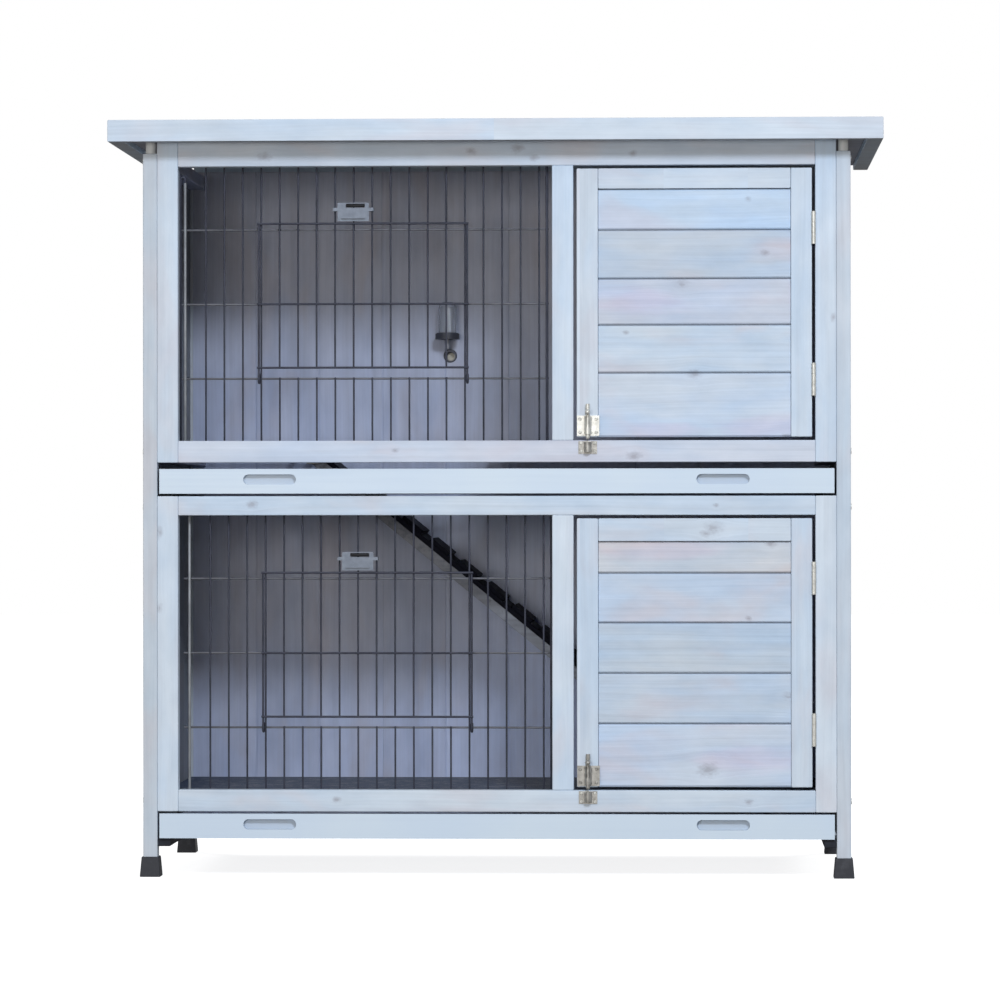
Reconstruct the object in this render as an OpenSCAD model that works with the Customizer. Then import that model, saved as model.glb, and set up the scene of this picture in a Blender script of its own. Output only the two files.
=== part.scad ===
// Two-storey rabbit hutch of whitewashed fir. Millimetres, +Z up, the front faces -Y,
// and the origin is on the floor under the middle of the roof.

/* [Overall] */
// Width of the roof
roof_w = 918; // [900:1:960]
// Depth of the roof
roof_d = 490; // [480:5:500]
// Height from the floor to the top of the roof
total_h = 900; // [898:1:920]
// Width over the outer faces of the posts
body_w = 843; // [840:1:850]
// Depth over the outer faces of the posts
body_d = 410; // [400:5:420]

/* [Timber] */
// Width of a post, seen from the front
post_w = 17; // [16:0.5:18]
// Depth of a post
post_d = 20; // [18:1:22]
// Width of the stiles of the front frames
stile_w = 25; // [23:0.5:26]
// Thickness of the front frames and of the doors
frame_t = 18; // [17:0.5:18]
// Thickness of the wall boards
board_t = 10; // [9:0.5:11]
// Wanted width of one wall board
board_w = 82; // [60:2:100]

/* [Openings] */
// Height of the opening of each storey
opening_h = 327; // [326:0.5:328]
// Distance from the left stile to the middle stile
wire_opening_w = 446.5; // [445:0.5:448]
// Gap round a plank door
door_gap = 3.8; // [3.4:0.1:4.2]

/* [Trays] */
// Height of a tray's front board
tray_h = 29.5; // [28:0.5:30]
// Thickness of a tray's front board
tray_front_t = 12; // [10:0.5:14]
// Length of a finger recess in a tray's front board
slot_len = 63; // [50:1:70]
// Height of a finger recess
slot_h = 12; // [10:0.5:14]

/* [Wire] */
// Diameter of the upright wires
wire_d = 2.2; // [2:0.1:2.4]
// Diameter of the level wires
level_wire_d = 2.5; // [2.4:0.1:2.6]
// Distance between two upright wires
wire_pitch = 22.18; // [22:0.02:22.3]
// Distance between two level wires
level_pitch = 89; // [88:0.5:90]

/* [Ramp] */
// Slope of the ramp at rest, in degrees below level
ramp_slope = 39.2; // [38.5:0.1:40]
// Length of the ramp from its pivot to its foot
ramp_len = 632; // [626:1:636]
// Width of the ramp
ramp_w = 155; // [150:1:156]
// Thickness of the ramp board
ramp_t = 12; // [10:0.5:12]

/* [Hidden] */

$fn = 32;

// A cutter reaches this far past the faces that it opens
cut = 1;
// Two boards that butt keep this much apart, so that each stays a solid of its own
butt = 0.2;

// The two storeys, as indices into the lists below
lower = 0;
upper = 1;
opening_z = [104, 520];
top_rail_z = [454, 879];
tray_z = [46, 457];
bottom_rail_h = 26;
// The lower wire panel stands a little further right than the upper one
wire_shift = [5, 0];

front_y = -body_d / 2;
back_y = body_d / 2;
frame_back_y = front_y + frame_t;
post_x = body_w / 2 - post_w;
post_top = 863;
post_base = 4;
post_mid_x = body_w / 2 - post_w / 2;
post_mid_y = body_d / 2 - post_d / 2;

// The middle stile and the opening of the plank door
middle_x0 = -post_x + stile_w + wire_opening_w;
middle_x1 = middle_x0 + 25.5;
stile_x = post_x - stile_w;
door_x0 = middle_x1 + door_gap;
door_x1 = stile_x - door_gap;
door_stile_w = 25.5;
door_h = opening_h - 2 * door_gap;
// Heights of the joints between a door's planks over the opening's lower edge. The last is under the rail.
plank_joints = [[79, 139, 199, 258, 296], [80, 137, 192, 250, 299]];

// Roof
fascia_t = 12;
fascia_h = 26;
side_board_t = 19;
felt_t = 2;
// The felt lies this much lower than the top of the boards round it
felt_drop = 2;
deck_t = 16;
deck_boards = 5;
roof_base = total_h - fascia_h;
deck_z = total_h - felt_drop - felt_t - deck_t;
pad_r = 6;

// Walls and floors
wall_inset = 3.5;
wall_x1 = body_w / 2 - wall_inset;
wall_x0 = wall_x1 - board_t;
back_board_t = 9;
// The side and back walls reach this far below the tray
tray_gap = 3;
back_board_y0 = back_y - board_t - back_board_t;
groove = 1.6;
side_rail_w = 20;
side_rail_h = 16;
floor_drop = 7;
bar = 2.5;
cross_bar = 4;
grid_h = bar + cross_bar - 0.5;
floor_x = wall_x0 - 1;
floor_y0 = frame_back_y + 6;
floor_y1 = back_board_y0 - 1;
ramp_hole_x0 = -245;
ramp_hole_x1 = -20;
ramp_hole_y0 = 19;

// Trays: the front board and the pan behind it
tray_w = 804;
pan_wall = 8;
pan_floor = 4;
pan_x = 386;
pan_y1 = 178;
pan_h = 24;
slot_x = 270;
slot_depth = 8;
slot_z = 16.8;
notch_x0 = -252;
notch_x1 = -10;
notch_y0 = 13;
runner_w = 15;
runner_h = 10;

// Hinges
knuckle_r = 2.6;
pin_r = 1.25;
pin_bore_r = 1.3;
leaf_t = 1.2;
hinge_len = 39;
leaf_reach = 16;
hinge_axis_x = (door_x1 + stile_x) / 2;
hinge_axis_y = front_y - 2;
leaf_gap = (stile_x - door_x1) / 2;
hinge_rise = [72, 252];
roof_hinge_x = 300;
roof_leaf_gap = 3;
roof_hinge_y = back_y + roof_leaf_gap;
roof_hinge_z = deck_z - roof_leaf_gap;

// Barrel bolts
bolt_x = door_x0 + 13.2;
bolt_r = 2.5;
bolt_bore_r = 2.55;
bolt_plate_t = 1.2;
bolt_plate_w = 27;
bolt_y = front_y - bolt_plate_t - 3.2;
barrel_r = 4;
keeper_bore_r = 2.8;
keeper_r = 4.2;
bolt_len = 42;

// Wire panels and wire doors
level_y = frame_back_y + 3.6;
upright_y = level_y - 2;
door_wire_y = upright_y - 2.8;
door_level_y = door_wire_y - 2;
first_wire_x = -370.2;
uprights = 19;
frame_wire_d = 3.4;
left_frame_wire_x = -373;
right_frame_wire_x = 60.5;
levels = 5;
// The panels' welded wires are drawn eight-sided, because each crosses many others
wire_sides = 8;
doorway_first = 4;
doorway_last = 15;
door_side_step = 2.8;
door_wire_r = 1.3;
ring_wire_r = 1.6;
ring_r = level_y - door_wire_y;
wire_door_h = 185;
wire_door_sill = 13;
latch_wire = 9;
latch_w = 37.5;
latch_h = 22;
latch_t = 1;
latch_y = door_level_y - door_wire_r - 0.6 - latch_t;

// Ramp
ramp_x = -237;
ramp_y0 = 25.5;
ramp_clear = 0.1;
ramp_z = opening_z[lower] - floor_drop + ramp_clear
    + ramp_len * sin(ramp_slope) + ramp_t / 2 * cos(ramp_slope);
ramp_pin_r = 2.5;
ramp_bore_r = 2.56;
bracket_t = 3;
tread_t = 6;
cleats = 13;
cleat_pitch = 44;
cleat_w = 30;
cleat_h = 5;

// Drinking bottle, on the back wall of the upper storey
bottle_x = -77.6;
bottle_r = 11.5;
bottle_z = 663;
bottle_h = 39;
bottle_y = back_board_y0 - 20;
cap_r = 13.8;
cap_h = 7;
cup_t = 1.2;
spout_r = 2.2;
spout_len = 14;
spout_x = -75;
spout_z = 634.5;
spout_hole_r = 8.6;

function level_z(s, i) = opening_z[s] + 74.5 + level_pitch * (i - 1) - (s == lower ? 1 : 0);
function wire_x(s, k) = first_wire_x + wire_shift[s] + wire_pitch * k;
function floor_top(s) = opening_z[s] - floor_drop;

wood = [0.79, 0.84, 0.90];
plank = [0.74, 0.81, 0.89];
paint = [0.82, 0.89, 0.96];
wall = [0.55, 0.55, 0.58];
zinc = [0.78, 0.79, 0.80];
dark = [0.20, 0.22, 0.24];

// A block between two corners
module block(a, b) {
    translate(a) cube(b - a);
}

// A rod between two heights
module upright(x, y, z0, z1, r) {
    translate([x, y, z0]) cylinder(r = r, h = z1 - z0);
}

// A rod along X
module level(x0, x1, y, z, r) {
    translate([x0, y, z]) rotate([0, 90, 0]) cylinder(r = r, h = x1 - x0);
}

// The same thing on the left and on the right
module both_sides() {
    children();
    mirror([1, 0, 0]) children();
}

// Two posts, at the front or at the back
module posts(y0) {
    color(wood) both_sides()
        block([post_x, y0, post_base], [body_w / 2, y0 + post_d, post_top]);
}

// A foot cap: it flares towards the floor, and the post stands in its pocket
module foot() {
    top = [post_w / 2 + 1.8, post_d / 2 + 1.8];
    flare = 2;
    height = 24;
    difference() {
        intersection() {
            rotate([90, 0, 0]) linear_extrude(height = 2 * post_d, center = true)
                polygon([[-top[0] - flare, 0], [top[0] + flare, 0], [top[0], height], [-top[0], height]]);
            rotate([90, 0, 90]) linear_extrude(height = 2 * post_d, center = true)
                polygon([[-top[1] - flare, 0], [top[1] + flare, 0], [top[1], height], [-top[1], height]]);
        }
        block([-post_w / 2, -post_d / 2, post_base], [post_w / 2, post_d / 2, height + cut]);
    }
}

module feet() {
    color(dark) both_sides() for (y = [-post_mid_y, post_mid_y])
        translate([post_mid_x, y, 0]) foot();
}

// Round pads that carry the roof
module roof_pads() {
    color(paint) both_sides() for (y = [-post_mid_y, post_mid_y])
        upright(post_mid_x, y, post_top, deck_z, pad_r);
}

module stile(x0, x1, z0, z1) {
    color(wood) block([x0, front_y, z0], [x1, frame_back_y, z1]);
}

// The left and right stiles run the full height of the frame
module left_stile(s) {
    stile(-post_x, -stile_x, opening_z[s] - bottom_rail_h, top_rail_z[s]);
}

module right_stile(s) {
    stile(stile_x, post_x, opening_z[s] - bottom_rail_h, top_rail_z[s]);
}

module middle_stile(s) {
    stile(middle_x0, middle_x1, opening_z[s], opening_z[s] + opening_h);
}

module top_rail(s) {
    stile(-stile_x, stile_x, opening_z[s] + opening_h, top_rail_z[s]);
}

module bottom_rail(s) {
    stile(-stile_x, stile_x, opening_z[s] - bottom_rail_h, opening_z[s]);
}

// Upright boards in one panel, with a V groove on both faces at each joint. It stands in the XZ plane.
module boards(length, thick, z0, z1) {
    count = round(length / board_w);
    difference() {
        block([0, 0, z0], [length, thick, z1]);
        for (i = [1 : count - 1], y = [0, thick])
            translate([i * length / count, y, z0 - cut]) rotate([0, 0, 45])
                translate([-groove / 2, -groove / 2, 0]) cube([groove, groove, z1 - z0 + 2 * cut]);
    }
}

function wall_bottom(s) = opening_z[s] - bottom_rail_h;
function wall_top(s) = s == upper ? post_top : top_rail_z[lower];
function rear_top(s) = s == upper ? deck_z - 2 : top_rail_z[lower];

module right_wall(s) {
    color(wood) translate([wall_x1, -body_d / 2 + post_d, 0]) rotate([0, 0, 90])
        boards(body_d - 2 * post_d, board_t, tray_z[s] - tray_gap, wall_top(s));
}

module left_wall(s) {
    mirror([1, 0, 0]) right_wall(s);
}

// Rails inside the side walls, top and bottom of each storey. The floors lie on the bottom ones.
module side_rails() {
    color(wall) both_sides() for (s = [lower, upper]) {
        y0 = front_y + post_d;
        y1 = back_y - post_d;
        top = s == upper ? post_top : tray_z[upper] - runner_h;
        block([wall_x0 - side_rail_w, y0, wall_bottom(s)], [wall_x0, y1, floor_top(s) - grid_h]);
        block([wall_x0 - side_rail_w, y0, top - side_rail_h], [wall_x0, y1, top]);
    }
}

// Back wall: its boards are inside, and its rails are outside
module back_wall(s) {
    color(wall) difference() {
        translate([-post_x, back_board_y0, 0])
            boards(2 * post_x, back_board_t, tray_z[s] - tray_gap, s == upper ? deck_z - 10 : wall_top(s));
        if (s == upper)
            translate([spout_x, back_y, spout_z]) rotate([90, 0, 0])
                cylinder(r = spout_hole_r, h = 4 * board_t);
    }
}

module rear_rails() {
    color(wood) for (s = [lower, upper], z = [wall_bottom(s), rear_top(s) - bottom_rail_h])
        block([-post_x, back_y - board_t, z], [post_x, back_y, z + bottom_rail_h]);
}

// Floor of level bars on cross bars. Droppings fall through it into the tray.
module floor_grid(s) {
    top = floor_top(s);
    count = 24;
    step = (floor_y1 - floor_y0 - bar) / (count - 1);
    cross_bars = 6;
    cross_step = (2 * floor_x - cross_bar) / cross_bars;
    color(dark) difference() {
        union() {
            for (i = [0 : count - 1])
                block([-floor_x, floor_y0 + i * step, top - bar],
                    [floor_x, floor_y0 + i * step + bar, top]);
            for (i = [0 : cross_bars])
                block([-floor_x + i * cross_step, floor_y0, top - grid_h],
                    [-floor_x + i * cross_step + cross_bar, floor_y1, top - grid_h + cross_bar]);
            if (s == upper)
                block([ramp_hole_x0 - cross_bar, ramp_hole_y0 - cross_bar, top - 10],
                    [ramp_hole_x1 + cross_bar, floor_y1, top]);
        }
        if (s == upper)
            block([ramp_hole_x0, ramp_hole_y0, top - 20], [ramp_hole_x1, floor_y1 + cut, top + cut]);
    }
}

// The runners that the trays slide on
module tray_runners() {
    color(dark) both_sides() for (z = tray_z)
        block([post_x - runner_w, front_y + (z == tray_z[lower] ? 5 : post_d), z - runner_h],
            [post_x, back_y - post_d, z]);
}

// Wire panel behind the left opening. The uprights of the doorway stop at its upper and lower edge.
module wire_panel(s) {
    $fn = wire_sides;
    z0 = level_z(s, 0) - 5;
    z1 = level_z(s, levels - 1) + 4;
    x0 = left_frame_wire_x + wire_shift[s];
    x1 = right_frame_wire_x + wire_shift[s];
    color(zinc) {
        for (i = [0, 1, 3, 4])
            level(x0 - 7, x1 + 2, level_y, level_z(s, i), level_wire_d / 2);
        level(x0 - 7, wire_x(s, doorway_first) + 1.5, level_y, level_z(s, 2), level_wire_d / 2);
        level(wire_x(s, doorway_last) - 1.5, x1 + 2, level_y, level_z(s, 2), level_wire_d / 2);
        for (k = [1 : uprights]) {
            split = k > doorway_first && k < doorway_last;
            upright(wire_x(s, k), upright_y, z0, split ? level_z(s, 1) + 1.5 : z1, wire_d / 2);
            if (split)
                upright(wire_x(s, k), upright_y, level_z(s, 3) - 1.5, z1, wire_d / 2);
        }
        for (x = [x0, x1])
            upright(x, upright_y + 0.3, z0, z1, frame_wire_d / 2);
    }
}

// A ring round the wire that a wire door turns on. It lies in the YZ plane.
module ring() {
    rotate([0, 90, 0]) rotate_extrude() translate([ring_r, 0]) circle(r = ring_wire_r);
}

// Wire door. Its rings turn on the panel's level wire under the doorway.
module wire_door(s) {
    axis_z = level_z(s, 1);
    top = axis_z + wire_door_h;
    x0 = wire_x(s, doorway_first) - door_side_step;
    x1 = wire_x(s, doorway_last) + door_side_step;
    color(zinc) {
        for (x = [x0, x1]) {
            upright(x, door_wire_y, axis_z - 0.6, top + 1, door_wire_r);
            translate([x, level_y, axis_z]) ring();
        }
        for (z = [axis_z + wire_door_sill, level_z(s, 2), top])
            level(x0 - 2, x1 + 2, door_level_y, z, door_wire_r);
        for (k = [doorway_first + 1 : doorway_last - 1])
            upright(wire_x(s, k), door_wire_y, axis_z + wire_door_sill - 1, top + 1, wire_d / 2);
    }
}

// Sheet-metal latch. Its ears slide on two uprights above the doorway, and its plate drops in front of the
// door's top wire.
module latch(s) {
    x = wire_x(s, latch_wire);
    z0 = level_z(s, 1) + wire_door_h + 2.8;
    z1 = z0 + latch_h;
    grip_z = z1 - 10;
    slot_x0 = x - 9;
    slot_x1 = x + 14;
    color(zinc) difference() {
        union() {
            block([x - latch_w / 2, latch_y, z0], [x + latch_w / 2, latch_y + latch_t, z1]);
            block([x - 14, latch_y - 2.5, z0 + 3], [x + 14, latch_y + 0.2, z0 + 4.2]);
            for (side = [-1, 1]) {
                block([x + side * (wire_pitch - 0.9) - 2.9, latch_y, grip_z],
                    [x + side * (wire_pitch - 0.9) + 2.9, latch_y + latch_t, grip_z + 4]);
                block([x + side * wire_pitch - 1.2, latch_y, grip_z],
                    [x + side * wire_pitch + 1.2, upright_y, grip_z + 4]);
                upright(x + side * wire_pitch, upright_y, grip_z, grip_z + 4, 2.4);
            }
        }
        for (side = [-1, 1])
            upright(x + side * wire_pitch, upright_y, grip_z - cut, z1 + cut, wire_d / 2 + 0.06);
        block([slot_x0, latch_y - cut, z1 - 6], [slot_x1, latch_y + latch_t + cut, z1 - 1]);
    }
}

// Half of a butt hinge. Its pin is along Z through the origin, its leaf reaches towards +Y,
// and gap is the distance from the pin's axis to the leaf's far face.
module hinge_leaf(knuckles, gap) {
    part = hinge_len / 3;
    play = 0.2;
    difference() {
        union() {
            block([gap - leaf_t, knuckle_r + 0.3, -hinge_len / 2], [gap, leaf_reach, hinge_len / 2]);
            for (i = knuckles) {
                z0 = -hinge_len / 2 + i * part + play;
                upright(0, 0, z0, z0 + part - 2 * play, knuckle_r);
                block([leaf_gap - leaf_t, 1.5, z0], [gap, knuckle_r + 0.4, z0 + part - 2 * play]);
            }
        }
        upright(0, 0, -hinge_len, hinge_len, pin_bore_r);
    }
}

module frame_leaf(gap) {
    hinge_leaf([0, 2], gap);
}

module moving_leaf(gap) {
    mirror([1, 0, 0]) hinge_leaf([1], gap);
}

module door_hinge_places(s) {
    for (rise = hinge_rise)
        translate([hinge_axis_x, hinge_axis_y, opening_z[s] + rise])
            children();
}

// The roof's hinges: the pin is along X, and the frame's leaf hangs down the rear rail
module roof_hinge_places() {
    for (x = [-roof_hinge_x, roof_hinge_x])
        translate([x, roof_hinge_y, roof_hinge_z]) children();
}

module frame_hinge_leaves() {
    color(zinc) {
        for (s = [lower, upper]) door_hinge_places(s) frame_leaf(leaf_gap);
        roof_hinge_places() rotate([0, 90, 0]) rotate([0, 0, -90]) frame_leaf(roof_leaf_gap);
    }
}

module hinge_pins() {
    color(zinc) {
        for (s = [lower, upper]) door_hinge_places(s)
            upright(0, 0, -hinge_len / 2, hinge_len / 2, pin_r);
        roof_hinge_places() level(-hinge_len / 2, hinge_len / 2, 0, 0, pin_r);
    }
}

module roof_hinge_leaves() {
    color(zinc) roof_hinge_places() rotate([0, 90, 0]) rotate([180, 0, 0]) moving_leaf(roof_leaf_gap);
}

module door_hinge_leaves(s) {
    color(zinc) door_hinge_places(s) moving_leaf(leaf_gap);
}

// Frame of a plank door: two stiles and a top rail. The planks run down to the door's bottom.
module door_frame(s) {
    z0 = opening_z[s] + door_gap;
    z1 = z0 + door_h;
    rail_z = opening_z[s] + plank_joints[s][4] + butt;
    color(wood) {
        block([door_x0, front_y, z0], [door_x0 + door_stile_w, frame_back_y, z1]);
        block([door_x1 - stile_w, front_y, z0], [door_x1, frame_back_y, z1]);
        block([door_x0 + door_stile_w + butt, front_y, rail_z], [door_x1 - stile_w - butt, frame_back_y, z1]);
    }
}

// Level planks of a door, with bevelled front edges
module door_planks(s) {
    joints = concat([door_gap], plank_joints[s]);
    bevel = 2.2;
    y0 = front_y + 3;
    y1 = y0 + 9;
    x0 = door_x0 + door_stile_w + butt;
    x1 = door_x1 - stile_w - butt;
    color(plank) for (i = [1 : len(joints) - 1]) {
        height = joints[i] - joints[i - 1] - butt;
        translate([x0, 0, opening_z[s] + joints[i - 1]]) rotate([90, 0, 90]) linear_extrude(height = x1 - x0)
            polygon([[y0, bevel], [y0 + bevel, 0], [y1, 0], [y1, height],
                [y0 + bevel, height], [y0, height - bevel]]);
    }
}

// Barrel of the bolt on the door: a sleeve with a slot for the knob
module bolt_plate(s) {
    z0 = opening_z[s] + door_gap + 1.5;
    color(zinc) difference() {
        union() {
            block([door_x0 + 0.5, front_y - bolt_plate_t, z0], [door_x0 + bolt_plate_w, front_y, z0 + 24]);
            upright(bolt_x, bolt_y, z0 + 2, z0 + 23, barrel_r);
            block([bolt_x - barrel_r, bolt_y, z0 + 2], [bolt_x + barrel_r, front_y - 0.5, z0 + 23]);
        }
        upright(bolt_x, bolt_y, z0 - cut, z0 + 24 + cut, bolt_bore_r);
        block([bolt_x - 2.2, bolt_y - 2 * barrel_r, z0 + 10], [bolt_x + 2.2, bolt_y, z0 + 24 + cut]);
    }
}

// The rod of the bolt, drawn back clear of its keeper, with a pointed end and a knob
module bolt(s) {
    tip_z = opening_z[s] + 1.2;
    knob_z = opening_z[s] + door_gap + 1.5 + 28.2;
    color(zinc) {
        upright(bolt_x, bolt_y, tip_z + 2, tip_z + bolt_len, bolt_r);
        translate([bolt_x, bolt_y, tip_z]) cylinder(r1 = 1.2, r2 = bolt_r, h = 2.01);
        translate([bolt_x, bolt_y, knob_z]) rotate([90, 0, 0]) cylinder(r = 2, h = 9);
        translate([bolt_x, bolt_y - 9, knob_z]) sphere(r = 3.2);
    }
}

// Keepers on the bottom rails
module bolt_keepers() {
    color(zinc) for (s = [lower, upper]) {
        z1 = opening_z[s] - 1;
        difference() {
            union() {
                block([bolt_x - 11, front_y - bolt_plate_t, z1 - 15], [bolt_x + 11, front_y, z1]);
                upright(bolt_x, bolt_y, z1 - 13, z1 - 1, keeper_r);
                block([bolt_x - keeper_r, bolt_y, z1 - 13], [bolt_x + keeper_r, front_y - 0.5, z1 - 1]);
            }
            upright(bolt_x, bolt_y, z1 - 20, z1 + cut, keeper_bore_r);
        }
    }
}

// Screw heads on the outer faces of the posts
module frame_screws() {
    color(zinc) both_sides() for (y = [-post_mid_y, post_mid_y],
        z = [91, 441, 507, 855])
        difference() {
            level(body_w / 2, body_w / 2 + 1, y, z, 3.6);
            translate([body_w / 2 + 1, y, z]) cube([1.2, 4.4, 0.9], center = true);
            translate([body_w / 2 + 1, y, z]) cube([1.2, 0.9, 4.4], center = true);
        }
}

// Roof: a deck of boards with felt on it, between two side boards and behind a fascia
module roof_deck() {
    x = roof_w / 2 - side_board_t - butt;
    y0 = -roof_d / 2 + fascia_t + butt;
    step = (roof_d / 2 - y0) / deck_boards;
    color(wood) difference() {
        block([-x, y0, deck_z], [x, roof_d / 2, deck_z + deck_t]);
        for (i = [1 : deck_boards - 1])
            translate([-x - cut, y0 + i * step, deck_z]) rotate([45, 0, 0])
                translate([0, -groove / 2, -groove / 2]) cube([2 * x + 2 * cut, groove, groove]);
    }
}

module roof_boards() {
    color(wood) {
        block([-roof_w / 2, -roof_d / 2, roof_base],
            [roof_w / 2, -roof_d / 2 + fascia_t, roof_base + fascia_h]);
        both_sides() block([roof_w / 2 - side_board_t, -roof_d / 2 + fascia_t + butt, roof_base],
            [roof_w / 2, roof_d / 2, roof_base + fascia_h]);
    }
}

module roof_felt() {
    x = roof_w / 2 - side_board_t - butt;
    z0 = deck_z + deck_t;
    color(dark) block([-x, -roof_d / 2 + fascia_t + butt, z0], [x, roof_d / 2, z0 + felt_t]);
}

// Front board of a tray, with two finger recesses
module tray_front(s) {
    z0 = tray_z[s];
    y1 = front_y + tray_front_t;
    reach = (slot_len - slot_h) / 2;
    color(paint) difference() {
        block([-tray_w / 2, front_y, z0], [tray_w / 2, y1, z0 + tray_h]);
        both_sides() {
            for (x = [slot_x - reach, slot_x + reach])
                translate([x, front_y - cut, z0 + slot_z]) rotate([-90, 0, 0])
                    cylinder(r = slot_h / 2, h = slot_depth + cut);
            block([slot_x - reach, front_y - cut, z0 + slot_z - slot_h / 2],
                [slot_x + reach, front_y + slot_depth, z0 + slot_z + slot_h / 2]);
        }
    }
}

// Pan of a tray. The upper one goes round the ramp with a notch that is open at the back.
module tray_pan(s) {
    y0 = front_y + tray_front_t;
    z0 = tray_z[s];
    color(wood) difference() {
        block([-pan_x, y0, z0], [pan_x, pan_y1, z0 + pan_h]);
        difference() {
            block([-pan_x + pan_wall, y0 - cut, z0 + pan_floor],
                [pan_x - pan_wall, pan_y1 - pan_wall, z0 + pan_h + cut]);
            if (s == upper)
                block([notch_x0 - pan_wall, notch_y0 - pan_wall, z0],
                    [notch_x1 + pan_wall, pan_y1, z0 + pan_h]);
        }
        if (s == upper)
            block([notch_x0, notch_y0, z0 - cut], [notch_x1, pan_y1 + cut, z0 + pan_h + cut]);
    }
}

// The ramp's own frame: the pivot is at the origin, and the board runs down along +X
module ramp_frame() {
    translate([ramp_x, ramp_y0, ramp_z]) rotate([0, ramp_slope, 0]) children();
}

module ramp() {
    color(plank) ramp_frame() difference() {
        union() {
            block([0, 0, -ramp_t / 2], [ramp_len, ramp_w, ramp_t / 2]);
            rotate([-90, 0, 0]) cylinder(r = ramp_t / 2, h = ramp_w);
        }
        translate([0, -cut, 0]) rotate([-90, 0, 0]) cylinder(r = ramp_bore_r, h = ramp_w + 2 * cut);
    }
}

// Rough tread on top of the ramp, with cleats across it
module ramp_cleats() {
    edge = 6;
    z0 = ramp_t / 2;
    z1 = z0 + tread_t;
    color(dark) ramp_frame() {
        block([14, edge / 2, z0], [ramp_len - edge, ramp_w - edge / 2, z1]);
        for (i = [1 : cleats])
            block([i * cleat_pitch, edge, z1 - 1],
                [i * cleat_pitch + cleat_w, ramp_w - edge, z1 + cleat_h]);
    }
}

// The pin that the ramp hangs on, and its two brackets on the edge of the floor
module ramp_pivot() {
    y0 = ramp_y0 - 1 - bracket_t;
    y1 = ramp_y0 + ramp_w + 1;
    color(zinc) {
        translate([ramp_x, y0, ramp_z]) rotate([-90, 0, 0]) cylinder(r = ramp_pin_r, h = y1 + bracket_t - y0);
        for (y = [y0, y1])
            block([ramp_hole_x0, y, ramp_z - 6], [ramp_x + 6, y + bracket_t, ramp_z + 6]);
    }
}

module bottle() {
    color([0.85, 0.92, 0.96]) translate([bottle_x, bottle_y, bottle_z]) rotate_extrude()
        polygon([[0, 0], [bottle_r, 0], [bottle_r, bottle_h - 6], [bottle_r - 2, bottle_h - 2],
            [bottle_r - 5, bottle_h], [0, bottle_h]]);
}

module bottle_cap() {
    color(dark) translate([bottle_x, bottle_y, bottle_z]) rotate_extrude()
        polygon([[0, 0], [cap_r, 0], [cap_r, 1 - cap_h], [cap_r - 1, -cap_h], [spout_r, -cap_h],
            [spout_r, -cap_h - spout_len + 1], [spout_r - 1, -cap_h - spout_len], [0, -cap_h - spout_len]]);
}

// Holder of the bottle: a cup round its cap, open below for the spout, on a strip from the back wall
module bottle_holder() {
    play = 0.3;
    z0 = bottle_z - cap_h;
    color(dark) translate([bottle_x, bottle_y, 0]) difference() {
        union() {
            upright(0, 0, z0 - cup_t, bottle_z - 1, cap_r + play + cup_t);
            block([-5, cap_r, z0 - cup_t], [5, back_board_y0 - bottle_y, bottle_z - 1]);
        }
        upright(0, 0, z0, bottle_z + cut, cap_r + play);
        upright(0, 0, z0 - cup_t - cut, z0 + cut, cap_r - 5);
    }
}

// Rubber plug in the spare spout hole of the back wall: a cup with its open side inwards
module spout_hole_plug() {
    inner = 5.2;
    depth = 8;
    outer = spout_hole_r - 0.05;
    proud = 2;
    end = proud + back_board_t;
    color(dark) translate([spout_x, back_board_y0 - proud, spout_z]) rotate([-90, 0, 0]) rotate_extrude()
        polygon([[0, depth], [inner, depth], [inner, 0], [outer - 1, 0], [outer, 1], [outer, end], [0, end]]);
}

posts(front_y);  // front_posts
posts(back_y - post_d);  // rear_posts
feet();
roof_pads();
left_stile(upper);  // upper_left_stile
middle_stile(upper);  // upper_middle_stile
right_stile(upper);  // upper_right_stile
top_rail(upper);  // upper_top_rail
bottom_rail(upper);  // upper_bottom_rail
left_stile(lower);  // lower_left_stile
middle_stile(lower);  // lower_middle_stile
right_stile(lower);  // lower_right_stile
top_rail(lower);  // lower_top_rail
bottom_rail(lower);  // lower_bottom_rail
left_wall(upper);  // upper_left_wall
right_wall(upper);  // upper_right_wall
left_wall(lower);  // lower_left_wall
right_wall(lower);  // lower_right_wall
side_rails();
back_wall(upper);  // upper_back_wall
back_wall(lower);  // lower_back_wall
rear_rails();
floor_grid(upper);  // upper_floor_grid
floor_grid(lower);  // lower_floor_grid
tray_runners();
wire_panel(upper);  // upper_wire_panel
wire_panel(lower);  // lower_wire_panel
frame_screws();
bolt_keepers();
frame_hinge_leaves();
hinge_pins();
ramp_pivot();
bottle_holder();
spout_hole_plug();
roof_deck();
roof_boards();
roof_felt();
roof_hinge_leaves();
door_frame(upper);  // upper_door_frame
door_planks(upper);  // upper_door_planks
door_hinge_leaves(upper);  // upper_door_hinge_leaves
bolt_plate(upper);  // upper_bolt_plate
door_frame(lower);  // lower_door_frame
door_planks(lower);  // lower_door_planks
door_hinge_leaves(lower);  // lower_door_hinge_leaves
bolt_plate(lower);  // lower_bolt_plate
bolt(upper);  // upper_bolt
bolt(lower);  // lower_bolt
wire_door(upper);  // upper_wire_door
wire_door(lower);  // lower_wire_door
latch(upper);  // upper_latch
latch(lower);  // lower_latch
tray_front(upper);  // upper_tray_front
tray_pan(upper);  // upper_tray_pan
tray_front(lower);  // lower_tray_front
tray_pan(lower);  // lower_tray_pan
ramp();
ramp_cleats();
bottle();
bottle_cap();
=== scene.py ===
"""Two-storey rabbit hutch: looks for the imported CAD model. Metres, +Z up, the front faces -Y."""

import math
import random

import bmesh
import bpy
from mathutils import Matrix, Vector


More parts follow.
